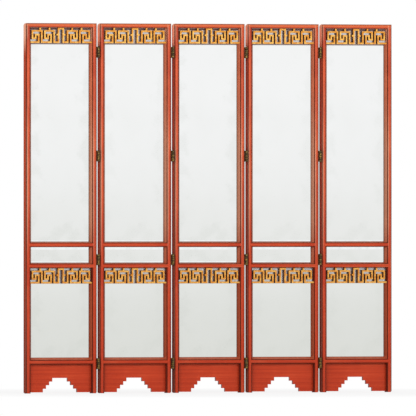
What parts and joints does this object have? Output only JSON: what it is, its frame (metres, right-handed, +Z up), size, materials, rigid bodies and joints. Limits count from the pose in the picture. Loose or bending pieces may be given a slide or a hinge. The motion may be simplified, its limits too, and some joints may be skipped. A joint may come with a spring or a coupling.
{
  "type": "folding screen",
  "caption": "Folding mirror screen: red lacquered frames with gilt key frets, a narrow mirror between cross rails, stepped-arch aprons and two-way brass hinges.",
  "frame": {"origin": "on the floor, midway along the screen's width and depth, under the middle panel", "axes": "+X along the screen to the right of someone who faces its front, -Y out of its front, +Z up"},
  "size_m": [2.2801, 0.068, 2.134],
  "materials": {
    "lacquer": "worn red lacquer, satin",
    "lacquer_apron": "worn dark red lacquer, satin",
    "lacquer_slips": "rubbed salmon red lacquer, satin",
    "back_lacquer": "dark lacquered boards, satin",
    "gilt": "water gilding over red bole, worn",
    "mirror": "aged silvering, bevelled edge",
    "aged_brass": "aged brass, satin",
    "pin_brass": "worn brass, satin"
  },
  "bodies": {
    "panel_1": {"stile_left_1": "lacquer", "stile_right_1": "lacquer", "top_rail_1": "lacquer", "cross_rails_1": "lacquer", "apron_1": "lacquer_apron", "slips_1": "lacquer_slips", "mirrors_1": "mirror", "back_boards_1": "back_lacquer", "frets_1": "gilt", "hinge_leaves_1": "aged_brass"},
    "panel_2": {"stile_left_2": "lacquer", "stile_right_2": "lacquer", "top_rail_2": "lacquer", "cross_rails_2": "lacquer", "apron_2": "lacquer_apron", "slips_2": "lacquer_slips", "mirrors_2": "mirror", "back_boards_2": "back_lacquer", "frets_2": "gilt", "hinge_leaves_2": "aged_brass"},
    "panel_3": {"stile_left_3": "lacquer", "stile_right_3": "lacquer", "top_rail_3": "lacquer", "cross_rails_3": "lacquer", "apron_3": "lacquer_apron", "slips_3": "lacquer_slips", "mirrors_3": "mirror", "back_boards_3": "back_lacquer", "frets_3": "gilt", "hinge_leaves_3": "aged_brass"},
    "panel_4": {"stile_left_4": "lacquer", "stile_right_4": "lacquer", "top_rail_4": "lacquer", "cross_rails_4": "lacquer", "apron_4": "lacquer_apron", "slips_4": "lacquer_slips", "mirrors_4": "mirror", "back_boards_4": "back_lacquer", "frets_4": "gilt", "hinge_leaves_4": "aged_brass"},
    "panel_5": {"stile_left_5": "lacquer", "stile_right_5": "lacquer", "top_rail_5": "lacquer", "cross_rails_5": "lacquer", "apron_5": "lacquer_apron", "slips_5": "lacquer_slips", "mirrors_5": "mirror", "back_boards_5": "back_lacquer", "frets_5": "gilt", "hinge_leaves_5": "aged_brass"},
    "link_1": {"hinge_links_1": "aged_brass", "hinge_pins_1": "pin_brass"},
    "link_2": {"hinge_links_2": "aged_brass", "hinge_pins_2": "pin_brass"},
    "link_3": {"hinge_links_3": "aged_brass", "hinge_pins_3": "pin_brass"},
    "link_4": {"hinge_links_4": "aged_brass", "hinge_pins_4": "pin_brass"}
  },
  "joints": [
    {"name": "fold_3_4_front", "type": "hinge", "parent": "panel_3", "child": "link_3", "pos_m": [0.22988, -0.01999, 1], "axis": [0, 0, -1], "range_deg": [-2, 176]},
    {"name": "fold_3_4_back", "type": "hinge", "parent": "link_3", "child": "panel_4", "pos_m": [0.23072, 0.028, 1], "axis": [0, 0, -1], "range_deg": [-178, 0]},
    {"name": "fold_4_5_front", "type": "hinge", "parent": "panel_4", "child": "link_4", "pos_m": [0.68881, -0.028, 1], "axis": [0, 0, 1], "range_deg": [-178, 0]},
    {"name": "fold_4_5_back", "type": "hinge", "parent": "link_4", "child": "panel_5", "pos_m": [0.68965, 0.01999, 1], "axis": [0, 0, 1], "range_deg": [-2, 176]},
    {"name": "fold_2_3_back", "type": "hinge", "parent": "panel_3", "child": "link_2", "pos_m": [-0.22988, 0.01999, 1], "axis": [0, 0, -1], "range_deg": [-2, 176]},
    {"name": "fold_2_3_front", "type": "hinge", "parent": "link_2", "child": "panel_2", "pos_m": [-0.23072, -0.028, 1], "axis": [0, 0, -1], "range_deg": [-178, 0]},
    {"name": "fold_1_2_back", "type": "hinge", "parent": "panel_2", "child": "link_1", "pos_m": [-0.68881, 0.028, 1], "axis": [0, 0, 1], "range_deg": [-178, 0]},
    {"name": "fold_1_2_front", "type": "hinge", "parent": "link_1", "child": "panel_1", "pos_m": [-0.68965, -0.01999, 1], "axis": [0, 0, 1], "range_deg": [-2, 176]}
  ]
}
